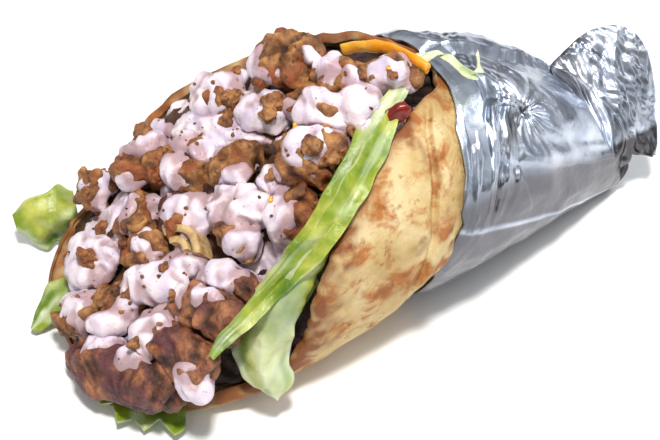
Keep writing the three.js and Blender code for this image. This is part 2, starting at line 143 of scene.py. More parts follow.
def points_of(mesh):
    flat = np.zeros(len(mesh.vertices) * 3)
    mesh.vertices.foreach_get("co", flat)
    return flat.reshape(-1, 3) / MM


def set_points(mesh, points):
    mesh.vertices.foreach_set("co", (points * MM).ravel())
    mesh.update()


def normals_of(mesh):
    flat = np.zeros(len(mesh.vertices) * 3, np.float32)
    mesh.vertices.foreach_get("normal", flat)
    return flat.reshape(-1, 3).astype(float)


def broad_normals(mesh, rounds):
    """Normals averaged over their neighbours, so that points pushed far along them don't cross."""
    broad = smooth_points(mesh, normals_of(mesh), rounds)
    return broad / np.linalg.norm(broad, axis=1).clip(1e-6)[:, None]


def write_value(mesh, name, values):
    attribute = mesh.attributes.new(name, "FLOAT", "POINT")
    attribute.data.foreach_set("value", np.asarray(values, np.float32))


def smooth_points(mesh, points, rounds):
    """Each round moves every point half way to the middle of its neighbours."""
    edges = np.zeros(len(mesh.edges) * 2, np.int32)
    mesh.edges.foreach_get("vertices", edges)
    a, b = edges.reshape(-1, 2).T
    count = np.bincount(np.concatenate([a, b]), minlength=len(points))[:, None].clip(1)
    for _ in range(rounds):
        total = np.zeros_like(points)
        np.add.at(total, a, points[b])
        np.add.at(total, b, points[a])
        points = 0.5 * points + 0.5 * total / count
    return points


def joined_nodes(names):
    """The CAD nodes' meshes as one bmesh, with the vertices that share a place merged."""
    bm = bmesh.new()
    for name in names:
        bm.from_mesh(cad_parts[name].data)
    bmesh.ops.remove_doubles(bm, verts=bm.verts, dist=0.001 * MM)
    return bm


def remeshed(name, nodes, voxel, rounds):
    """A new object with an even, smoothed mesh round the CAD nodes; voxel is in millimetres."""
    bm = joined_nodes(nodes)
    rough = bpy.data.meshes.new(name + "_rough")
    bm.to_mesh(rough)
    bm.free()
    obj = in_scene(name, rough)
    modifier = obj.modifiers.new("even", "REMESH")
    modifier.mode = "VOXEL"
    modifier.voxel_size = voxel * MM
    evaluated = obj.evaluated_get(bpy.context.evaluated_depsgraph_get())
    even = bpy.data.meshes.new_from_object(evaluated)
    obj.modifiers.clear()
    obj.data = even
    bpy.data.meshes.remove(rough)
    set_points(even, smooth_points(even, points_of(even), rounds))
    return obj


def keep_faces(mesh, kept):
    """Removes the vertices that aren't kept, with their faces."""
    bm = bmesh.new()
    bm.from_mesh(mesh)
    bm.verts.ensure_lookup_table()
    gone = [v for v, keep in zip(bm.verts, kept) if not keep]
    bmesh.ops.delete(bm, geom=gone, context="VERTS")
    bm.to_mesh(mesh)
    bm.free()


def grid_faces(rows, columns, closed):
    """Quads of a grid of points; a closed grid joins its last column to its first."""
    around = columns if closed else columns - 1
    i, j = np.meshgrid(np.arange(rows - 1), np.arange(around), indexing="ij")
    k = (j + 1) % columns
    quads = [i * columns + j, i * columns + k, (i + 1) * columns + k, (i + 1) * columns + j]
    return np.stack([q.ravel() for q in quads], axis=1)


def smooth_rows(grid, rounds):
    """Smooths a closed grid along and around, with its first and last rows held."""
    for _ in range(rounds):
        around = np.roll(grid, 1, axis=1) + np.roll(grid, -1, axis=1)
        grid = 0.5 * grid + 0.25 * around
        grid[1:-1] = 0.5 * grid[1:-1] + 0.25 * (grid[:-2] + grid[2:])
    return grid


# ---------------------------------------------------------------- places taken from the frame
def box_mm(node):
    low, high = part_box(node)
    return np.array(low) / MM, np.array(high) / MM


def tree_of(*nodes):
    bm = joined_nodes(nodes)
    tree = BVHTree.FromBMesh(bm)
    bm.free()
    return tree


foil_tree = tree_of("foil_wrap")
pita_tree = tree_of("pita")
whole_tree = tree_of("foil_wrap", "pita", "filling_core")

FAR_REACH = 120  # millimetres, from the wrap's axis to well outside it


def axis_height(x):
    """The height of the wrap's axis at x: half way up its section."""
    hit = whole_tree.ray_cast(Vector((x * MM, 0, FAR_REACH * MM)), Vector((0, 0, -1)))[0]
    return 0.5 * hit.z / MM if hit else 0.0


AXIS_X = np.linspace(-105, 84, 64)
AXIS_Z = np.convolve(np.pad([axis_height(x) for x in AXIS_X], 4, "edge"), np.ones(9) / 9, "valid")
CLOSED_FROM = 25  # where the wrap starts to be closed all round


def axis_at(x):
    """The wrap's axis, held level along the open mouth, where its top is missing."""
    return np.interp(np.maximum(x, CLOSED_FROM), AXIS_X, AXIS_Z)


def skin_radius(tree, x, angle):
    """How far the outer skin lies from the axis, or None where there is none on that side."""
    way = Vector((0, math.cos(angle), math.sin(angle)))
    centre = Vector((x, 0, float(axis_at(x)))) * MM
    hit = tree.ray_cast(centre + way * FAR_REACH * MM, -way, FAR_REACH * MM)[0]
    return None if hit is None else (hit - centre).length / MM


def first_x(tree, angle, low, high, step=3.0):
    """Where along the wrap the skin begins at this angle, coming from the mouth."""
    x = low
    while x < high and skin_radius(tree, x, angle) is None:
        x += step
    outside, inside = x - step, x
    for _ in range(7):
        half = 0.5 * (outside + inside)
        if skin_radius(tree, half, angle) is None:
            outside = half
        else:
            inside = half
    return inside


def around_points(x, angle, radius):
    """Points at distances from the wrap's axis."""
    return np.stack([x, radius * np.cos(angle), axis_at(x) + radius * np.sin(angle)], axis=-1)


def turn_of(points):
    """The angle round the wrap of points, in degrees from 0 to 360."""
    return np.degrees(np.arctan2(points[:, 2] - axis_at(points[:, 0]), points[:, 1])) % 360


# The mouth's own frame: u climbs its slope, v runs to the far side and n points out of it.
MOUTH_U = np.array([math.cos(MOUTH_SLOPE), 0, math.sin(MOUTH_SLOPE)])
MOUTH_V = np.array([0.0, 1.0, 0.0])
MOUTH_N = np.array([-math.sin(MOUTH_SLOPE), 0, math.cos(MOUTH_SLOPE)])
MOUTH_CENTRE = np.array([-35.3, -0.2, 49.4])


def mouth_place(points):
    """u, v and n of points."""
    d = points - MOUTH_CENTRE
    return d @ MOUTH_U, d @ MOUTH_V, d @ MOUTH_N


# ---------------------------------------------------------------- materials
def srgb(red, green, blue):
    """A colour given as 0 to 255 steps, as linear values."""
    steps = np.array([red, green, blue]) / 255
    linear = np.where(steps <= 0.04045, steps / 12.92, ((steps + 0.055) / 1.055) ** 2.4)
    return (*linear, 1.0)


def colour_ramp(tree, stops):
    """A ramp node through colours, or levels of grey, at positions from 0 to 1."""
    node = tree.nodes.new("ShaderNodeValToRGB")
    elements = node.color_ramp.elements
    while len(elements) < len(stops):
        elements.new(0.5)
    for element, (position, colour) in zip(elements, stops):
        element.position = position
        element.color = colour if isinstance(colour, tuple) else (colour, colour, colour, 1)
    return node


MIX_FIRST, MIX_SECOND, MIX_RESULT = 6, 7, 2  # the colour sockets of a Mix node


class Finish:
    """A procedural material on one Principled shader, in the part's own coordinates."""

    def __init__(self, name, **sockets):
        self.material = bpy.data.materials.new(name)
        self.material.use_nodes = True
        self.tree = self.material.node_tree
        self.shader = self.tree.nodes["Principled BSDF"]
        for socket, value in sockets.items():
            self.shader.inputs[socket.replace("_", " ")].default_value = value
        self.place = self.tree.nodes.new("ShaderNodeTexCoord").outputs["Object"]

    def put(self, socket, value):
        if isinstance(value, bpy.types.NodeSocket):
            self.tree.links.new(value, socket)
        else:
            socket.default_value = value

    def noise(self, size, detail=3, roughness=0.55, distortion=0.0):
        """A noise texture whose bumps are about size millimetres wide."""
        node = self.tree.nodes.new("ShaderNodeTexNoise")
        self.put(node.inputs["Scale"], 1 / (size * MM))
        self.put(node.inputs["Detail"], detail)
        self.put(node.inputs["Roughness"], roughness)
        self.put(node.inputs["Distortion"], distortion)
        self.put(node.inputs["Vector"], self.place)
        return node.outputs["Fac"]

    def spots(self, size):
        """Distance from scattered points about size millimetres apart, 0 at each point."""
        node = self.tree.nodes.new("ShaderNodeTexVoronoi")
        self.put(node.inputs["Scale"], 1 / (size * MM))
        self.put(node.inputs["Vector"], self.place)
        return node.outputs["Distance"]

    def value(self, name):
        """A number written on the mesh's points."""
        node = self.tree.nodes.new("ShaderNodeAttribute")
        node.attribute_name = name
        return node.outputs["Fac"]

    def ramp(self, factor, stops):
        node = colour_ramp(self.tree, stops)
        self.put(node.inputs["Fac"], factor)
        return node.outputs["Color"]

    def mix(self, factor, first, second):
        """The first colour where the factor is 0 and the second where it is 1."""
        node = self.tree.nodes.new("ShaderNodeMix")
        node.data_type = "RGBA"
        self.put(node.inputs["Factor"], factor)
        self.put(node.inputs[MIX_FIRST], first)
        self.put(node.inputs[MIX_SECOND], second)
        return node.outputs[MIX_RESULT]

    def bump(self, height, depth):
        """Raises the surface by height times depth millimetres."""
        node = self.tree.nodes.new("ShaderNodeBump")
        self.put(node.inputs["Strength"], 1.0)
        self.put(node.inputs["Distance"], depth * MM)
        self.put(node.inputs["Height"], height)
        before = self.shader.inputs["Normal"]
        if before.is_linked:
            self.put(node.inputs["Normal"], before.links[0].from_socket)
        self.put(before, node.outputs["Normal"])

    def colour(self, value):
        self.put(self.shader.inputs["Base Color"], value)

    def roughness(self, value):
        self.put(self.shader.inputs["Roughness"], value)


def foil_finish():
    finish = Finish("foil", Metallic=1.0)
    tone = finish.ramp(finish.noise(11, 2), [(0.3, srgb(168, 178, 196)), (0.7, srgb(214, 220, 232))])
    # painted shade and reflection: the foil is darkened toward grey-brown by the written mask
    finish.colour(finish.mix(finish.value("painted_foil_shade"), tone, srgb(92, 90, 94)))
    finish.roughness(finish.ramp(finish.noise(7, 3), [(0.35, 0.26), (0.7, 0.4)]))
    finish.bump(finish.noise(3.4, 3, 0.5), 0.22)
    return finish.material


def pita_finish():
    finish = Finish("pita_bread", Roughness=0.75)
    crumb = finish.ramp(
        finish.noise(16, 4, 0.6),
        [(0.3, srgb(180, 146, 88)), (0.5, srgb(204, 178, 124)), (0.7, srgb(222, 203, 158))],
    )
    toasted = finish.ramp(finish.noise(11, 5, 0.62, 0.4), [(0.5, 0.0), (0.62, 0.95)])
    colour = finish.mix(toasted, crumb, srgb(172, 102, 38))
    scorched = finish.ramp(finish.noise(4.5, 4, 0.65), [(0.6, 0.0), (0.72, 0.8)])
    colour = finish.mix(scorched, colour, srgb(134, 70, 24))
    colour = finish.mix(finish.value("browned"), colour, srgb(124, 66, 26))
    finish.colour(colour)
    finish.bump(finish.noise(5, 4, 0.6), 0.7)
    finish.bump(finish.noise(1.1, 3), 0.22)
    return finish.material


def meat_finish(name, light, middle, dark, red, spread=0.5):
    """Grilled meat: browned outside, with charred and reddish places, darker in its crevices by painted
    shade and lighter on raised grains by painted highlight.
    """
    finish = Finish(name)
    colour = finish.ramp(finish.noise(5, 5, 0.66), [(0.32, dark), (0.5, middle), (0.66, light)])
    reddish = finish.ramp(finish.noise(12, 4, 0.6), [(spread, 0.0), (spread + 0.1, 0.9)])
    # painted highlight: raised grains lightened toward the light colour
    colour = finish.mix(finish.value("painted_highlight"), colour, light)
    colour = finish.mix(reddish, colour, red)
    charred = finish.ramp(finish.noise(2.4, 4, 0.75), [(0.56, 0.0), (0.66, 0.85)])
    colour = finish.mix(charred, colour, srgb(56, 31, 21))
    # painted shade: crevices darkened toward near black
    colour = finish.mix(finish.value("painted_crevice_shade"), colour, srgb(32, 15, 9))
    finish.colour(colour)
    finish.roughness(finish.ramp(finish.noise(2.5, 3), [(0.35, 0.34), (0.65, 0.64)]))
    finish.bump(finish.noise(1.3, 4, 0.7), 0.8)
    return finish.material


def sauce_finish():
    finish = Finish("yogurt_sauce", Roughness=0.34)
    shader = finish.shader.inputs
    shader["Subsurface Weight"].default_value = 0.35
    shader["Subsurface Radius"].default_value = (1.0, 0.75, 0.7)
    shader["Subsurface Scale"].default_value = 2.0 * MM
    cream = finish.ramp(finish.noise(9, 3), [(0.35, srgb(206, 192, 212)), (0.65, srgb(240, 226, 230))])
    thin = finish.mix(finish.value("thin"), cream, srgb(170, 134, 136))
    specks = finish.ramp(finish.spots(2.6), [(0.05, 0.9), (0.1, 0.0)])
    colour = finish.mix(specks, thin, srgb(92, 74, 62))
    flecks = finish.ramp(finish.noise(2.6, 5, 0.75, 0.5), [(0.62, 0.0), (0.7, 0.75)])
    colour = finish.mix(flecks, colour, srgb(168, 120, 84))
    finish.colour(colour)
    finish.bump(finish.noise(2.2, 4, 0.6), 0.5)
    return finish.material


def lettuce_finish():
    finish = Finish("lettuce", Roughness=0.36)
    shader = finish.shader.inputs
    shader["Subsurface Weight"].default_value = 0.3
    shader["Subsurface Radius"].default_value = (0.7, 1.0, 0.25)
    shader["Subsurface Scale"].default_value = 1.5 * MM
    leaf = finish.ramp(
        finish.noise(12, 3),
        [(0.32, srgb(82, 118, 20)), (0.5, srgb(134, 152, 40)), (0.66, srgb(184, 186, 84))],
    )
    colour = finish.mix(finish.value("pale"), leaf, srgb(214, 222, 190))
    finish.colour(colour)
    finish.bump(finish.noise(3.2, 4, 0.6, 0.6), 0.6)
    finish.bump(finish.spots(5.5), 0.5)
    return finish.material


def vegetable_finish(name, main, other, size, clear):
    """Wet raw vegetable: two close colours in soft patches; clear is how much light sinks in."""
    finish = Finish(name, Roughness=0.25)
    finish.shader.inputs["Subsurface Weight"].default_value = clear
    finish.shader.inputs["Subsurface Scale"].default_value = 2.5 * MM
    finish.colour(finish.ramp(finish.noise(size, 3), [(0.38, main), (0.62, other)]))
    finish.bump(finish.noise(2.2, 3), 0.25)
    return finish.material


FOIL = foil_finish()
PITA = pita_finish()
MEAT = meat_finish(
    "grilled_meat", srgb(190, 136, 80), srgb(140, 88, 46), srgb(66, 38, 20), srgb(146, 76, 34)
)
DARK_MEAT = meat_finish(
    "dark_meat", srgb(176, 116, 74), srgb(132, 78, 52), srgb(64, 34, 30), srgb(88, 42, 50), 0.49
)
CRUMB = meat_finish(
    "browned_crumb", srgb(158, 98, 50), srgb(120, 70, 36), srgb(72, 40, 22), srgb(136, 70, 34)
)
# painted shade: the packed filling is a darker copy of the meat colours, for the dark between and behind
# the pieces
SHADED_CORE = meat_finish(
    "packed_filling", srgb(112, 70, 40), srgb(74, 42, 24), srgb(36, 20, 14), srgb(86, 40, 22)
)
SAUCE = sauce_finish()
LETTUCE = lettuce_finish()
ONION = vegetable_finish("onion", srgb(168, 132, 80), srgb(216, 190, 140), 5, 0.5)
PEPPER = vegetable_finish("pepper", srgb(228, 150, 30), srgb(240, 186, 66), 9, 0.35)
TOMATO = vegetable_finish("tomato", srgb(98, 18, 10), srgb(142, 34, 16), 3, 0.1)

# ---------------------------------------------------------------- rings round the wrap
RING_COUNT = 420 if FINE else 240
ANGLES = 2 * math.pi * np.arange(RING_COUNT) / RING_COUNT


def smoothed_ring(values, rounds=6):
    values = np.array(values, float)
    for _ in range(rounds):
        values = 0.5 * values + 0.25 * (np.roll(values, 1) + np.roll(values, -1))
    return values


def skin_grid(tree, starts, ends, rows, rounds):
    """Rows of points on the outer skin, between a start and an end for each angle."""
    shares = np.linspace(0, 1, rows)[:, None]
    x = starts + (ends - starts) * shares
    radius = np.zeros_like(x)
    for i, j in np.ndindex(x.shape):
        found = skin_radius(tree, x[i, j], ANGLES[j])
        radius[i, j] = np.nan if found is None else found
    for row in radius:
        missing = np.isnan(row)
        if missing.any():
            row[missing] = np.interp(ANGLES[missing], ANGLES[~missing], row[~missing], period=2 * math.pi)
    return x, smooth_rows(radius, rounds)


# ---------------------------------------------------------------- foil
FOIL_EDGE = smoothed_ring([first_x(foil_tree, a, -10, 40, 2.0) for a in ANGLES])  # its front edge
FOIL_ROWS = 150 if FINE else 80
FOIL_INSET = 0.5  # how far the smooth skin lies inside the CAD's, which leaves room for the folds
FOIL_LIP = 1.2  # how far the foil's front edge flares on the near side
FOIL_TUCK = 0.9  # how far it closes on the bread elsewhere
FOIL_HEM = 9  # how far the edge is seen from inside
HEM_ROWS = 8
CREASE_X = 83.7  # where the tail is pinched, at the crease's own angle
CREASE_SLANT = 9
CREASE_ANGLE = math.radians(60)
FIN_ROWS = 46 if FINE else 24
FIN_THICKNESS = 3.0
# The fin from its low end to its high end: first the pinched line, then the outer edge.
FIN_ROOT = np.array([[93.7, -10.2, 19.4], [88.7, -3.2, 32.4], [81.7, 7.9, 40.4], [74.7, 15.9, 43.4]])
FIN_EDGE = np.array([[103.7, -10.2, 14.4], [106.3, -1.2, 29.4], [105.5, 12.4, 47.4], [86.0, 19.2, 48.4]])
STAR_X, STAR_ANGLE = 49.4, 115  # the pinched spot that creases run out from
STAR_RADIUS = 27  # the wrap's radius there
FLAP_TOP, FLAP_STEP = 2.2, 1.5
SEAM_RISE, SEAM_SLOPE = 54.5, -0.565  # the seam's height along the near side


def along_curve(points, shares):
    """Points on a smooth curve through four points, at shares of its length from 0 to 1."""
    knots = np.linspace(0, 1, len(points))
    return np.stack([np.polyval(np.polyfit(knots, column, 3), shares) for column in points.T], axis=-1)


def ribs(phase):
    """Rounded ribs with sharp valleys between them, from -0.5 to 0.5."""
    return np.abs(np.sin(np.pi * phase)) - 0.5


def crumple(points, turn):
    """Broad folds everywhere, and small sharp ones in places and on the far side."""
    broad = 1.1 * noise(points, 21, 4) + 1.6 * (folds(points, (21, 15, 11), 3) - 0.5)
    rough = smoothstep(0.05, 0.6, noise(points, 19, 6)) + 0.9 * smoothstep(100, 60, turn)
    return broad + 1.3 * rough.clip(0, 1) * (folds(points, (7, 5.2, 3.8), 8) - 0.5)


def edge_ribs(points, turn, from_edge):
    """Upright ribs behind the front edge, on the side that was pressed together."""
    pressed = smoothstep(84, 104, turn) * smoothstep(176, 160, turn)
    pressed *= smoothstep(0.5, 5, from_edge) * smoothstep(27, 14, from_edge)
    broad = ribs(from_edge / 6.3 + 0.011 * (turn - 100) + 0.35 * noise(points, 13, 7))
    fine = ribs(from_edge / 2.4 + 0.4 * noise(points, 9, 8))
    return pressed * (2.0 * broad + 0.5 * fine)


def star_creases(points, x, turn):
    """Creases that run out from the pinched spot, a pit in its middle and a bulge behind it."""
    around = np.radians(turn - STAR_ANGLE) * STAR_RADIUS
    distance = np.hypot(x - STAR_X, around)
    ray = np.arctan2(around, x - STAR_X)
    star = ribs(7.2 * ray / np.pi + 0.7 * noise(points, 7, 9)) * (0.5 + 0.5 * smoothstep(0.4, -0.8, ray))
    creases = 1.3 * star * bell(distance, 11) * smoothstep(0.5, 3, distance)
    return creases - 2.4 * bell(distance, 1.7) + 1.5 * bell(x - 66, 13) * bell(turn - 103, 21)


def seam_flap(x, turn):
    """The folded seam's flap stands over the near side, with a dark gap under its edge."""
    past_edge = turn - (73 - 0.4 * (x - 28))
    flap = smoothstep(FLAP_STEP, -FLAP_STEP, past_edge) * smoothstep(-30, -10, past_edge)
    height = FLAP_TOP * flap - 1.6 * bell(past_edge - 3.2, 2.2)
    return height * smoothstep(16, 26, x) * smoothstep(84, 72, x)


def side_folds(points, x, turn):
    """A fold along the near side, an upright one below it, and the seam low down."""
    level = turn - (145 + 0.35 * (x - 42))
    upright = x - (41 + 0.16 * (turn - 147))
    height = 1.1 * smoothstep(38, 46, x) * smoothstep(1.6, -1.6, level) * smoothstep(-14, -5, level)
    below = smoothstep(146, 150, turn) * smoothstep(180, 172, turn)
    height += 0.9 * below * smoothstep(0.7, -0.7, upright) * smoothstep(-9, -3, upright)
    height -= 0.9 * smoothstep(44, 54, x) * bell(turn - 134, 5)
    above_seam = points[:, 2] - (SEAM_RISE + SEAM_SLOPE * x)
    low_side = smoothstep(150, 160, turn) * smoothstep(250, 235, turn)
    height += low_side * (0.55 * bell(above_seam, 0.7) + 0.5 * smoothstep(0.4, -0.4, above_seam))
    flat_side = low_side * smoothstep(-2, 2, level)
    return height, flat_side


def foil_folds(points, x, angle, from_edge):
    """How far the foil stands off its smooth skin at each point."""
    turn = np.degrees(angle)
    side, flat_side = side_folds(points, x, turn)
    height = crumple(points, turn) + edge_ribs(points, turn, from_edge)
    height += star_creases(points, x, turn) + seam_flap(x, turn) + side
    return height * smoothstep(2, 16, points[:, 2]) * (1 - 0.45 * flat_side)


def painted_foil_shading(points):
    """Painted shade and reflection on the foil, from 0 to 1: a brown-grey painted reflection by the star,
    painted shade in the pinch at the fin's root and in the star's pit, a darker painted reflection over
    the low near side with the seam left lighter, and random darker patches on the fin.
    """
    x = points[:, 0]
    turn = turn_of(points)
    # painted reflection: a brown-grey patch by the star
    painted_reflection_patch = bell(x - (43.5 - 0.27 * (turn - 118)), 2.6)
    painted_reflection_patch *= smoothstep(112, 119, turn) * smoothstep(142, 130, turn)
    # painted shade in the pinch at the fin's root
    pinch_shade = bell(x - CREASE_X + 4, 6) * smoothstep(120, 70, turn)
    above_seam = points[:, 2] - (SEAM_RISE + SEAM_SLOPE * x)
    # painted reflection: the low near side is darker, as if it reflected shaded floor; the seam stays a
    # lighter line
    pressed = smoothstep(142, 156, turn) * smoothstep(300, 260, turn) * (1 - 0.85 * bell(above_seam, 0.8))
    fin = smoothstep(CREASE_X, CREASE_X + 4, x) * smoothstep(-0.3, 0.4, noise(points, 5, 10))
    # painted shade in the star's pit
    pit_shade = bell(np.hypot(x - STAR_X, 0.47 * (turn - STAR_ANGLE)), 1.6)
    return np.clip(0.9 * painted_reflection_patch + 0.85 * pinch_shade + 0.9 * pressed + 0.3 * fin + pit_shade, 0, 1)


def foil_shell():
    crease = CREASE_X - CREASE_SLANT * np.cos(ANGLES - CREASE_ANGLE)
    x, radius = skin_grid(foil_tree, FOIL_EDGE + 0.5, crease - 1, FOIL_ROWS, 10)
    angle = np.broadcast_to(ANGLES, x.shape)
    flat = around_points(x, angle, radius).reshape(-1, 3)
    from_edge = x - FOIL_EDGE
    height = foil_folds(flat, x.ravel(), angle.ravel(), from_edge.ravel()).reshape(x.shape)
    calm_edge = smoothstep(0, 7, from_edge)
    near_side = smoothstep(80, 110, np.degrees(angle)) * smoothstep(185, 150, np.degrees(angle))
    lifted = near_side * (0.5 + 0.5 * noise(flat, 9, 5).reshape(x.shape))
    flare = np.exp(-from_edge / 4) * (FOIL_LIP * lifted - FOIL_TUCK * (1 - near_side))
    skin = around_points(x, angle, radius - FOIL_INSET + height * (0.25 + 0.75 * calm_edge) + flare)

    # The hem: the same sheet seen from inside, just behind its edge.
    hem_back = np.linspace(FOIL_HEM, 0, HEM_ROWS)[:, None]
    hem_radius = radius[0] - FOIL_INSET + flare[0] - 0.45 - 0.1 * hem_back
    hem_x = FOIL_EDGE + 0.4 + hem_back
    hem = around_points(hem_x, np.broadcast_to(ANGLES, hem_x.shape), hem_radius)
    ragged = 0.8 * noise(skin[0], 5, 7)
    skin[0, :, 0] += ragged
    hem[-1, :, 0] += ragged
    grid = np.concatenate([hem, skin, tail_rows(skin[-1])])
    grid[..., 2] = np.maximum(grid[..., 2], 0.02)
    faces = grid_faces(len(grid), RING_COUNT, True)
    points = grid.reshape(-1, 3)
    piece = make_piece("foil_shell", points, faces, FOIL, ["foil_wrap"])
    # painted shade and reflection, written on the foil's points
    write_value(piece.data, "painted_foil_shade", painted_foil_shading(points))


def tail_rows(last_ring):
    """The foil beyond its body: it gathers into a pinched line and fans out of it."""
    turn = ANGLES - CREASE_ANGLE
    across = 0.5 + 0.5 * np.cos(turn)
    through = np.sin(turn)
    root = along_curve(FIN_ROOT, across)
    edge = along_curve(FIN_EDGE, across)
    lean = np.cross(edge - root, along_curve(FIN_ROOT, across + 0.01) - root)
    lean /= np.linalg.norm(lean, axis=1)[:, None]
    pinched = root + lean * (through * 0.5 * FIN_THICKNESS)[:, None]
    rows = []
    for share in np.linspace(0, 1, 18)[1:]:
        ring = last_ring * (1 - share) + pinched * share
        gathers = np.sin(34 * across + 3 * noise(ring, 9, 2)) * math.sin(math.pi * share)
        rows.append(ring + lean * (1.1 * gathers * np.sign(through))[:, None])
    for share in np.linspace(0, 1, FIN_ROWS)[1:]:
        middle = root + (edge - root) * share
        crumple = 2.6 * (folds(middle, (9, 6.5, 4.5), 21) - 0.5) * min(1, 3 * share)
        crumple += 1.1 * (folds(middle, (3.8, 3.1), 23) - 0.5) * (1 - share**4)
        half = 0.5 * FIN_THICKNESS * (1 - 0.75 * share) * math.sqrt(max(0.0, 1 - share**8))
        wall = lean * (through * half + crumple)[:, None]
        rows.append(middle + wall)
    return np.array(rows)


# ---------------------------------------------------------------- pita
PITA_ROWS = 130 if FINE else 70
PITA_WALL = 4.0
PITA_UNDER_FOIL = 7  # how far the bread runs on under the foil
PITA_FOLD = 8.5  # a second layer of the bread shows this far in front of the foil
# Where the bread is toasted darkest: place along the wrap, angle round it, and half sizes of both.
TOASTED = [
    (1, 160, 2.6, 7), (13, 165, 2.6, 8), (-6, 175, 3.5, 6), (-13, 178, 5, 5), (4, 178, 2.4, 6),
    (18, 113, 1.8, 5), (5, 119, 3, 5), (-24, 152, 4, 8), (-20, 140, 2.6, 6), (11, 140, 1.6, 12),
    (-33, 174, 7, 9), (-38, 188, 8, 10), (-42, 204, 8, 10), (-50, 222, 8, 9), (8, 128, 1.2, 8),
]
PITA_INSIDE = 34  # how deep the inside of the bread is modelled


def pita_bread():
    rim = smoothed_ring([first_x(pita_tree, a, -108, 30) for a in ANGLES], 4)
    x, radius = skin_grid(pita_tree, rim + 1.2, FOIL_EDGE + PITA_UNDER_FOIL, PITA_ROWS, 14)
    angle = np.broadcast_to(ANGLES, x.shape)
    base = around_points(x, angle, radius).reshape(-1, 3)
    free = smoothstep(1, 12, base[:, 2]).reshape(x.shape)
    to_foil = (FOIL_EDGE - x).clip(0)
    wrinkled = bell(to_foil, 26) + 0.25
    wrinkles = np.abs(noise(base * (0.45, 0.16, 0.16), 3.4, 11)).reshape(x.shape)
    bubbles = noise(base, 11, 12).reshape(x.shape)
    dimples = noise(base, 4.2, 13).reshape(x.shape)
    tucked = smoothstep(9, 0, to_foil) * (0.9 * smoothstep(15, 40, base[:, 2]).reshape(x.shape))
    height = -0.3 + 0.6 * bubbles + 0.28 * dimples - 1.6 * wrinkled * (wrinkles - 0.3) - tucked
    turn = np.degrees(angle)
    on_fold = smoothstep(102, 116, turn) * smoothstep(196, 178, turn)
    fold_edge = to_foil - PITA_FOLD - 1.2 * np.sin(np.radians(3.1 * turn))
    height += on_fold * (1.7 * smoothstep(0.7, -0.7, fold_edge) - 1.2 * bell(fold_edge - 1.2, 0.9))
    outer = around_points(x, angle, radius + height * free)

    # The cut edge turns round from the outer skin to the inner one.
    ragged = (0.9 * noise(outer[0], 6, 14) + 0.5 * noise(outer[0], 2.4, 15)) * free[0]
    wall = PITA_WALL * (0.85 + 0.2 * noise(outer[0], 9, 16))
    turns = np.linspace(math.pi, 0, 9)[:, None]
    start = radius[0] + height[0] * free[0]
    lip_x = x[0] + ragged - 1.2 * np.sin(turns)
    lip_radius = start - 0.5 * wall * (1 + np.cos(turns))
    lip = around_points(lip_x, np.broadcast_to(ANGLES, lip_x.shape), lip_radius)

    back = np.linspace(1, 0, 24)[:-1, None] ** 1.5
    inside_x = x[0] + back * np.minimum(PITA_INSIDE, x[-1] - x[0])
    depth = np.stack([np.interp(inside_x[:, j], x[:, j], radius[:, j]) for j in range(RING_COUNT)], axis=1)
    inside = around_points(inside_x, np.broadcast_to(ANGLES, inside_x.shape), depth - wall)
    pull = np.linspace(0, 1, len(outer))[:, None]
    outer[:, :, 0] += ragged * (1 - pull) ** 6
    grid = np.concatenate([inside, lip[:-1], outer])
    grid[..., 2] = np.maximum(grid[..., 2], 0.02)
    faces = grid_faces(len(grid), RING_COUNT, True)
    piece = make_piece("pita_bread", grid.reshape(-1, 3), faces, PITA, ["pita"])

    # Browning: strongest along the cut edge, in spots mostly low on the near side and by the foil; the
    # bread is also darker low on the near side, near the cut edge.
    from_rim = np.concatenate([inside_x - x[0], np.zeros_like(lip[:-1, :, 0]), x - x[0]])
    points = grid.reshape(-1, 3)
    from_rim = np.abs(from_rim).ravel()
    fringe = np.exp(-from_rim / 3.5) * (0.75 + 0.3 * smoothstep(-10, 20, points[:, 1]))
    low_near = smoothstep(45, 10, points[:, 2]) * smoothstep(10, -30, points[:, 1])
    # darker low on the near side, near the cut edge
    low_near_darkening = 0.8 * np.exp(-from_rim / 16) * low_near * (0.6 + 0.6 * noise(points, 7, 17))
    turn = turn_of(points)
    spots = np.zeros(len(points))
    for spot_x, spot_turn, size_x, size_turn in TOASTED:
        reach = ((points[:, 0] - spot_x) / size_x) ** 2 + ((turn - spot_turn) / size_turn) ** 2
        spots = np.maximum(spots, 0.95 * np.exp(-reach))
    spots *= smoothstep(-0.45, 0.35, noise(points, 3.2, 19) + 0.5 * noise(points, 1.5, 20))
    browned = fringe + low_near_darkening + spots
    write_value(piece.data, "browned", np.clip(browned * (0.75 + 0.5 * noise(points, 3, 18)), 0, 0.95))


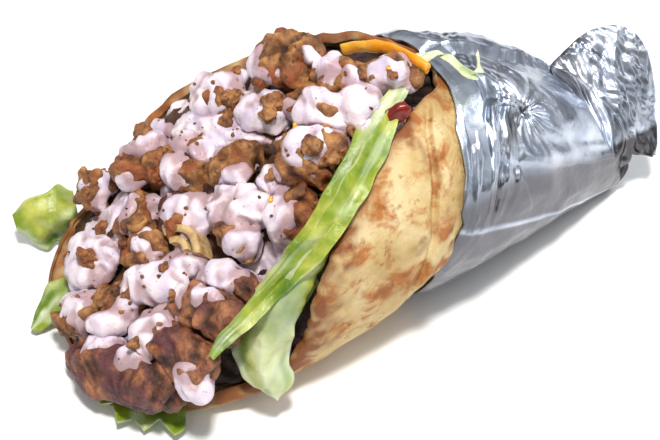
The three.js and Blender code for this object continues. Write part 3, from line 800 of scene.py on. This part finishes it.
# ---------------------------------------------------------------- filling and meat
def crumbly(obj, amount, seed):
    """Breaks a smooth lump into torn chunks and grains, and writes painted shade into the crevices between
    them and deeper in the mouth, and painted highlight on the raised grains.
    """
    mesh = obj.data
    points = points_of(mesh)
    warped = points + 1.6 * np.stack([noise(points, 5, seed + k) for k in (11, 12, 13)], axis=1)
    torn = folds(warped, (10, 7, 4.5), seed) - 0.5
    coarse = grains(warped, 3.9, seed)
    fine = grains(warped, 1.7, seed + 7)
    ridged = 0.5 - np.abs(noise(warped, 3.4, seed + 5))
    height = 1.5 * noise(points, 9, seed + 3) + 4.6 * torn + 0.45 * (coarse - 0.55)
    height += 1.0 * (ridged - 0.25) + 0.35 * (fine - 0.5)
    moved = points + broad_normals(mesh, 2) * (amount * height + 0.1)[:, None]
    set_points(mesh, moved)
    # painted shade: darker between grains, in torn valleys and deeper into the mouth
    painted_crevice_shade = smoothstep(0.35, 0.05, coarse) * 0.5 + smoothstep(0.25, 0.0, fine) * 0.3
    painted_crevice_shade += smoothstep(0.0, -0.35, torn) * 0.8
    painted_crevice_shade += 0.75 * smoothstep(1, -6, mouth_place(points)[2])
    write_value(mesh, "painted_crevice_shade", np.clip(painted_crevice_shade, 0, 0.9))
    # painted highlight on the raised grains
    write_value(mesh, "painted_highlight", smoothstep(0.5, 0.85, coarse) * smoothstep(-0.1, 0.25, torn))


MEAT_NODES = sorted(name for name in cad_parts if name.startswith("meat_"))
DARK_SLICES = ("meat_front_slice", "meat_lower_slice", "meat_dark_slice", "meat_right_slice")


def meat_pieces():
    for order, node in enumerate(MEAT_NODES):
        piece = remeshed(node + "_cooked", [node], 0.62 if FINE else 1.0, 3)
        dark = node in DARK_SLICES
        crumbly(piece, 0.65 if dark else 1.0, 20 + order)
        finish = DARK_MEAT if dark else MEAT
        finish_piece(piece, finish, [node])


def packed_filling():
    piece = remeshed("filling_bed", ["filling_core"], 1.0 if FINE else 1.4, 2)
    points = points_of(piece.data)
    keep_faces(piece.data, (points[:, 0] < 30) & (mouth_place(points)[2] > -22))
    crumbly(piece, 0.8, 5)
    # the filling bed takes the painted-shade copy of the meat finish
    finish_piece(piece, SHADED_CORE, ["filling_core"])


# ---------------------------------------------------------------- sauce
# Where the sauce lies on the filling: middle in the mouth's frame, half sizes along u and v, thickness.
SAUCE_PATCHES = [
    (-9, 43, 11, 6, 1.5), (-17, 39, 9, 6, 1.6), (0, 39, 10, 6, 1.4), (-3, 27, 9, 8, 1.6),
    (-19, 34, 6, 6, 1.6), (-30, 38, 8, 4, 1.2), (-40, 36, 7, 5, 1.2), (-2, 13, 5, 5, 1.8),
    (20, 27, 7, 7, 2.0), (15, 17, 11, 9, 1.6), (5, 21, 9, 8, 1.6), (9, 11, 7, 7, 1.6),
    (18, 7, 7, 7, 1.4), (1, 15, 6, 6, 1.4), (43, 11, 5, 6, 1.2), (50, -3, 5, 5, 1.4),
    (56, -6, 5, 5, 1.2), (42, -10, 8, 8, 1.6), (34, -6, 11, 9, 1.8), (26, -13, 9, 8, 1.8),
    (6, -11, 8, 6, 1.8), (-20, 14, 7, 6, 2.0), (-21, 1, 8, 7, 1.8), (-17, -4, 4, 4, 1.2),
    (-5, -5, 9, 5, 1.8), (-11, -6, 4, 6, 1.4), (1, -15, 8, 6, 1.6), (4, -22, 7, 6, 1.6),
    (-5, -27, 8, 6, 1.8), (-13, -25, 10, 5, 2.0), (-48, 23, 12, 10, 1.5), (-38, 22, 9, 8, 1.5),
    (-53, 12, 12, 9, 1.6), (-62, 8, 8, 6, 1.6), (-35, 0, 4, 4, 1.6), (-41, -12, 11, 8, 2.0),
    (-30, -18, 8, 7, 1.8), (-22, -29, 7, 5, 2.2), (-60, -15, 8, 5, 2.0), (-48, -27, 10, 6, 2.4),
    (-43, -49, 5, 6, 2.2), (-66, -2, 5, 6, 1.4), (8, 30, 6, 5, 1.2),
]
SAUCE_POOLS = sorted(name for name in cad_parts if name.startswith("sauce_"))


def sauce_cover(u, v, points):
    """Above 0 where sauce lies, 1 in the middle of a patch, with an uneven outline."""
    u = u + 1.3 * noise(points, 5, 31) + 0.6 * noise(points, 2.2, 32)
    v = v + 1.3 * noise(points, 5, 33) + 0.6 * noise(points, 2.2, 34)
    cover = np.full(len(points), -2.0)
    depth = np.full(len(points), 1.5)
    for middle_u, middle_v, half_u, half_v, thickness in SAUCE_PATCHES:
        here = 1 - ((u - middle_u) / half_u) ** 2 - ((v - middle_v) / half_v) ** 2
        depth = np.where(here > cover, thickness, depth)
        cover = np.maximum(cover, here)
    return cover, depth


def sauce_layer():
    under = MEAT_NODES + SAUCE_POOLS + ["filling_core", "onion_slice"]
    piece = remeshed("sauce_layer", under, 0.75 if FINE else 1.2, 4)
    mesh = piece.data
    points = points_of(mesh)
    u, v, n = mouth_place(points)
    cover, depth = sauce_cover(u, v, points)
    sunk = ((smooth_points(mesh, points, 30) - points) * normals_of(mesh)).sum(axis=1)
    cover -= 2.4 * smoothstep(0.12, 0.7, sunk)
    height = np.where(cover > 0, 0.6 * depth * np.sqrt(cover.clip(0)), 2.6 * cover)
    warped = points + 2.5 * noise(points, 6, 41)[:, None]
    creased = folds(warped, (7, 5, 3.2), 45) - 0.5
    lumps = 0.6 * noise(points, 7.5, 37) + 0.8 * noise(warped, 4.0, 35) + 2.9 * creased
    lumps += 0.5 * (grains(points, 2.6, 36) - 0.5)
    height += lumps * smoothstep(-0.2, 0.45, cover) + 0.7
    set_points(mesh, smooth_points(mesh, points + broad_normals(mesh, 6) * height[:, None], 2))
    thin = 0.85 * smoothstep(0.4, 0.0, cover) + 0.75 * smoothstep(-0.1, -1.1, lumps)
    write_value(mesh, "thin", np.clip(thin, 0, 0.8))
    facing = normals_of(mesh) @ MOUTH_N
    keep_faces(mesh, (cover > -1.3) & (n > -12) & (facing > -0.85))
    finish_piece(piece, SAUCE, SAUCE_POOLS)
    return piece


# ---------------------------------------------------------------- loose bits on the filling
def ball_of(rounds):
    """Points and triangles of a sphere of radius 1."""
    bm = bmesh.new()
    bmesh.ops.create_icosphere(bm, subdivisions=rounds, radius=1)
    points = np.array([v.co[:] for v in bm.verts])
    faces = np.array([[v.index for v in f.verts] for f in bm.faces])
    bm.free()
    return points, faces


def scattered(name, count, sizes, rounds, spots, material, seed):
    """Small uneven lumps, each half sunk in the surface at a random one of the spots."""
    rng = np.random.default_rng(seed)
    ball, triangles = ball_of(rounds)
    points, faces = [], []
    for order in range(count):
        spot = spots[rng.integers(len(spots))]
        size = rng.uniform(*sizes) * rng.uniform(0.6, 1.15, 3)
        shape = ball * size
        around = shape + 31.0 * order
        rough = 0.55 * noise(around, 0.8 * size.mean(), seed) + 0.4 * (grains(around, 1.5, seed) - 0.5)
        shape = shape * (1 + rough[:, None])
        turn = np.linalg.qr(rng.normal(size=(3, 3)))[0]
        turn *= np.sign(np.linalg.det(turn))
        points.append(shape @ turn + spot + MOUTH_N * 0.25 * size.mean())
        faces.append(triangles + order * len(ball))
    piece = make_piece(name, np.concatenate(points), np.concatenate(faces).tolist(), material)
    everywhere = points_of(piece.data)
    # painted shade between each bit's grains, and random lighter patches as painted highlight
    write_value(piece.data, "painted_crevice_shade", smoothstep(0.4, 0.05, grains(everywhere, 1.8, seed)) * 0.6)
    write_value(piece.data, "painted_highlight", smoothstep(0.1, 0.7, noise(everywhere, 2.5, seed)) * 0.5)
    return piece


def loose_bits(sauce):
    """Bits of meat between the large pieces, crumbs in the sauce and a few orange ones."""
    bed = points_of(sauce.data)
    u, v, n = mouth_place(bed)
    shown = bed[(n > 3) & (np.abs(v) < 42)]
    scattered("meat_bits", 34, (1.6, 3.6), 4 if FINE else 3, shown, MEAT, 5)
    scattered("meat_crumbs", 150, (0.25, 0.7), 2, shown, CRUMB, 6)
    scattered("pepper_bits", 4, (0.6, 1.2), 3, shown, PEPPER, 8)


# ---------------------------------------------------------------- greens and trimmings
NOWHERE = 2.0  # a share of a leaf's length that none reaches
# Long leaves: the middle of the leaf and the way to its outer edge, from the node's lowest corner.
# Each is ruffled by so many millimetres, cupped, and pale from a share of its length on.
LEAF_STRIPS = {
    "front": {
        "node": "lettuce_front_leaf",
        "stops": [
            ((9.5, 0.5, -1), (0.5, 0, 0)), ((8.5, 1, 4), (5, -2, 0)),
            ((6.5, 4.5, 13), (9, -3.5, 0)), ((9.5, 8, 24), (8, -4, -1)),
            ((14.5, 9, 34), (6, -4.5, -1.5)), ((21.5, 11, 43), (4, -4, -1.5)),
            ((29.5, 14, 51), (2.5, -3.5, -2)), ((38.5, 20, 58), (2, -3.5, -2)),
            ((54.5, 33, 65), (2, -3, -2)), ((65.5, 41, 68), (1.5, -2, -1)),
            ((74.5, 49, 69), (1, -1.5, -1)), ((80.5, 50, 70), (1, -1.5, 0)),
            ((84.5, 47, 69), (1, 0.5, 0.5)), ((87.5, 41, 66.5), (1, 0.5, 0.5)),
            ((91.5, 42, 66.5), (1, 0.5, 0.5)), ((93.5, 46, 69), (0.5, 0.5, 0.5)),
        ],
        "ruffle": 2.3, "cup": 0.75, "pale_from": 0.42,
    },
    "strip": {
        "node": "lettuce_front_leaf",
        "stops": [
            ((-9, 3.5, 25), (0.5, -0.5, -0.5)), ((-4, 5, 29), (1.5, -1.5, -1)),
            ((2, 6, 32.5), (2, -1.5, -1)), ((11, 9, 37), (2, -2, -1)),
            ((21, 10, 45), (2.5, -2.5, -1.5)), ((30.5, 11.5, 53), (2.5, -2.5, -1.5)),
            ((39.5, 16.5, 59), (2.5, -2.5, -1.5)), ((51, 25, 64.5), (2, -2.5, -1.5)),
            ((60, 33.5, 67), (1, -1.5, -1)),
        ],
        "ruffle": 0.7, "cup": -0.3, "pale_from": NOWHERE,
    },
    "side": {
        "node": "lettuce_side_leaf",
        "stops": [
            ((20.5, 0.5, 11.5), (0, 2, 7)), ((13.5, 1.5, 9.5), (1, 4, 9)),
            ((6.5, 3, 7.5), (-1, 4, 8)), ((1, 4.5, 6), (-1, 1, 4)),
        ],
        "ruffle": 3.6, "cup": 0.35, "pale_from": NOWHERE,
    },
    "corner": {
        "node": "lettuce_corner_leaf",
        "stops": [
            ((19.5, 6, 7.5), (-2, 6, 1)), ((12.5, 7, 6.5), (-2, 6.5, 1)),
            ((6.5, 5, 4), (-1.5, 4, 0)), ((1, 2, 1.5), (-0.5, 1, 0)),
        ],
        "ruffle": 2.6, "cup": 0.3, "pale_from": NOWHERE,
    },
    "lip": {
        "node": "lettuce_lip_leaf",
        "stops": [
            ((6, 26, 3.5), (-3, -2, -1)), ((9.5, 19, 3), (-3.5, -5, -1)),
            ((14.5, 12.5, 3), (-5, -7, -1)), ((21, 7.5, 3), (-4.5, -8, -1)),
            ((28.5, 3.5, 3.5), (-3.5, -8.5, -1)),
        ],
        "ruffle": 1.4, "cup": 0.1, "pale_from": NOWHERE, "teeth": 4.4,
    },
    "inner": {
        "node": "lettuce_inner_leaf",
        "stops": [
            ((42, 27.5, 38.5), (2, -2, -2)), ((32, 20.5, 35.5), (3, -3, -3.5)),
            ((20, 13, 27.5), (3.5, -4, -3.5)), ((9, 8.5, 15.5), (3, -3.5, -3)),
            ((2, 6.5, 1.5), (2, -1.5, -1.5)),
        ],
        "ruffle": 1.2, "cup": 0.3, "pale_from": NOWHERE,
    },
}
LEAF_THICKNESS = 0.7


def smooth_route(points, shares):
    """Points on a smooth curve through a list of points, at shares of it from 0 to 1."""
    points = np.array(points, float)
    place = shares * (len(points) - 1)
    i = np.clip(place.astype(int), 0, len(points) - 2)
    t = (place - i)[:, None]
    p0, p1 = points[np.maximum(i - 1, 0)], points[i]
    p2, p3 = points[i + 1], points[np.minimum(i + 2, len(points) - 1)]
    bend, twist = 2 * p0 - 5 * p1 + 4 * p2 - p3, 3 * p1 - p0 - 3 * p2 + p3
    return 0.5 * (2 * p1 + (p2 - p0) * t + bend * t**2 + twist * t**3)


def closed_sheet(sheet, normal, thickness):
    """Points and faces of a thin closed body round a grid of points."""
    side, along = sheet.shape[:2]
    half = 0.5 * thickness * normal[None]
    closed = np.concatenate([sheet + half, (sheet - half)[::-1]])
    closed[..., 2] = np.maximum(closed[..., 2], 0.1)
    count = len(closed)
    faces = grid_faces(count, along, False).tolist()
    last = (count - 1) * along
    faces += [(last + k, last + k + 1, k + 1, k) for k in range(along - 1)]
    for end in (0, along - 1):
        for k in range(side - 1):
            corners = [r * along + end for r in (k, k + 1, count - 2 - k, count - 1 - k)]
            faces.append(tuple(corners if end else corners[::-1]))
    return closed, faces


def leaf_strip(name, leaf, seed, replaced):
    along, side = (240, 30) if FINE else (120, 16)
    shares = np.linspace(0, 1, along)
    corner = box_mm(leaf["node"])[0]
    middle = corner + smooth_route([stop[0] for stop in leaf["stops"]], shares)
    across = smooth_route([stop[1] for stop in leaf["stops"]], shares)
    width = np.linalg.norm(across, axis=1)[:, None]
    normal = np.cross(np.gradient(middle, axis=0), across)
    normal /= np.linalg.norm(normal, axis=1)[:, None]
    rows = []
    jagged = np.zeros(along)
    if "teeth" in leaf:
        jagged = 0.5 * (np.abs(shares * leaf["teeth"] % 1 * 2 - 1) - 0.5)
    for s in np.linspace(-1, 1, side):
        edge = middle + across * s * (1 + 0.16 * noise(middle, 5, seed) + jagged * abs(s))[:, None]
        wave = leaf["ruffle"] * abs(s) ** 1.5 * noise(edge, 6.5, seed + 1)[:, None]
        wave += 0.35 * noise(edge, 3, seed + 2)[:, None]
        wave += 1.5 * (folds(edge, (10, 7), seed) - 0.5)[:, None]
        fold = leaf["cup"] * width * (abs(s) - 0.45)
        rib = 0.7 * bell(s, 0.25) * np.minimum(1, width / 5)
        rows.append(edge + normal * (wave + fold + rib))
    sheet = np.array(rows)
    closed, faces = closed_sheet(sheet, normal, LEAF_THICKNESS)
    piece = make_piece(name, closed.reshape(-1, 3), faces, LETTUCE, replaced)
    s = np.concatenate([np.linspace(-1, 1, side), np.linspace(1, -1, side)])[:, None]
    rib = 0.7 * bell(s, 0.3) + 0.25 * smoothstep(0.8, 1, np.abs(s))
    towards_rib = smoothstep(leaf["pale_from"], leaf["pale_from"] + 0.28, shares)[None]
    low_pale = 0.55 * smoothstep(0.32, 0.1, shares)[None] * (leaf["pale_from"] < NOWHERE)
    pale = np.maximum(np.maximum(0.4 * rib, towards_rib), low_pale)
    sideways, lengthways = np.broadcast_arrays(22 * s, 40 * shares)
    streaks = np.stack([sideways, lengthways, np.zeros_like(sideways)], axis=-1)
    pale = pale.ravel() + 0.4 * noise(streaks.reshape(-1, 3), 6, seed + 5)
    pale += 0.3 * noise(closed.reshape(-1, 3), 6, seed + 4)
    write_value(piece.data, "pale", np.clip(pale, 0, 0.95))


def greens():
    for order, (name, leaf) in enumerate(LEAF_STRIPS.items()):
        replaced = [] if name == "strip" else [leaf["node"]]
        leaf_strip(f"lettuce_{name}_blade", leaf, 71 + 10 * order, replaced)


ONION_LAYERS = 2
ONION_WALL = 2.4


def onion_layers():
    """A slice of onion that came apart into curved layers, one inside another."""
    low, high = box_mm("onion_slice")
    middle = 0.5 * (low + high) + MOUTH_N * 1.2
    along, side = (90, 16) if FINE else (40, 8)
    for layer in range(ONION_LAYERS):
        sweep = np.linspace(math.radians(-40 + 14 * layer), math.radians(85 - 9 * layer), along)
        radius = 9.0 - 4.2 * layer
        rows = []
        for lift in np.linspace(-3.2, 4.0, side):
            flare = radius + 0.16 * lift * layer - 0.03 * lift**2
            up_slope = np.outer(np.cos(sweep) * flare - 3.0, MOUTH_U)
            to_far_side = np.outer(np.sin(sweep) * flare, MOUTH_V)
            rows.append(middle + up_slope + to_far_side + MOUTH_N * lift)
        sheet = np.array(rows)
        wobble = 0.8 * noise(sheet.reshape(-1, 3), 5, 95 + layer).reshape(sheet.shape[:2])
        outward = np.outer(np.cos(sweep), MOUTH_U) + np.outer(np.sin(sweep), MOUTH_V)
        sheet = sheet + outward[None] * wobble[..., None]
        replaced = ["onion_slice"] if layer == 0 else []
        closed, faces = closed_sheet(sheet, outward, ONION_WALL * (1 - 0.15 * layer))
        make_piece(f"onion_layer_{layer}", closed.reshape(-1, 3), faces, ONION, replaced)


def trimmings():
    onion_layers()
    for node, material, slot in (
        ("pepper_strip", PEPPER, "pepper"),
        ("tomato_slice", TOMATO, "tomato"),
    ):
        piece = remeshed(node + "_fresh", [node], 0.5 if FINE else 0.8, 4)
        mesh = piece.data
        points = points_of(mesh)
        uneven = 0.5 * noise(points, 5, 90) + 0.2 * noise(points, 2, 91) - 0.3
        set_points(mesh, points + normals_of(mesh) * uneven[:, None])
        finish_piece(piece, material, [node])


# ---------------------------------------------------------------- floor, light and camera
def floor():
    half = 6.0
    corners = [(-half, -half), (half, -half), (half, half), (-half, half)]
    mesh = bpy.data.meshes.new("floor")
    mesh.from_pydata([(x, y, 0) for x, y in corners], [], [(0, 1, 2, 3)])
    obj = in_scene("floor", mesh)
    finish = Finish("floor", Roughness=0.6)
    finish.colour(finish.ramp(finish.noise(400, 1), [(0.0, 0.9), (1.0, 0.92)]))
    material_slot(obj, finish.material)


def look_from(obj, place, aim):
    """Puts a camera or a light at a place and turns it to face its aim, both in metres."""
    obj.location = place
    obj.rotation_euler = (aim - place).to_track_quat("-Z", "Y").to_euler()


def area_light(name, place, aim, size, power, colour):
    light = bpy.data.lights.new(name, "AREA")
    light.size = size
    light.energy = power
    light.color = colour
    look_from(in_scene(name, light), Vector(place), Vector(aim))


# The sky's brightness at each height, from the horizon to straight above.
SKY = [(0.0, 0.12), (0.3, 0.26), (0.62, 0.8), (1.0, 1.0)]


def lights():
    world = bpy.data.worlds.new("studio")
    world.use_nodes = True
    tree = world.node_tree
    background = tree.nodes["Background"]
    background.inputs["Strength"].default_value = 0.6
    place = tree.nodes.new("ShaderNodeTexCoord")
    parts = tree.nodes.new("ShaderNodeSeparateXYZ")
    tree.links.new(place.outputs["Generated"], parts.inputs[0])
    ramp = colour_ramp(tree, [(height, (0.94 * level, 0.97 * level, level, 1)) for height, level in SKY])
    tree.links.new(parts.outputs[2], ramp.inputs["Fac"])
    tree.links.new(ramp.outputs["Color"], background.inputs["Color"])
    bpy.context.scene.world = world
    area_light("right_panel", (1.0, 0.05, 0.95), (0.03, 0, 0.04), 0.7, 6.0, (0.95, 0.98, 1.0))
    area_light("right_front_panel", (0.9, -0.75, 0.45), (0.03, 0, 0.04), 0.5, 1.2, (0.95, 0.98, 1.0))
    area_light("left_fill", (-0.7, -0.6, 0.75), (-0.02, 0, 0.03), 0.5, 0.8, (1.0, 0.98, 0.95))
    area_light("key", (-0.1, -0.3, 1.13), (0, 0, 0.03), 0.14, 13.5, (1.0, 0.97, 0.93))


CAMERA_PLACE = Vector((-0.1682, -0.3710, 0.4702))
CAMERA_AIM = Vector((-0.0099, -0.0019, 0.0242))
CAMERA_LENS = 104.7


def camera():
    data = bpy.data.cameras.new("camera")
    data.lens = CAMERA_LENS
    data.sensor_width = 36
    data.clip_start = 0.01
    obj = in_scene("camera", data)
    look_from(obj, CAMERA_PLACE, CAMERA_AIM)
    bpy.context.scene.camera = obj
    bpy.context.scene.view_settings.view_transform = "Standard"


foil_shell()
pita_bread()
meat_pieces()
packed_filling()
loose_bits(sauce_layer())
greens()
trimmings()
floor()
lights()
camera()
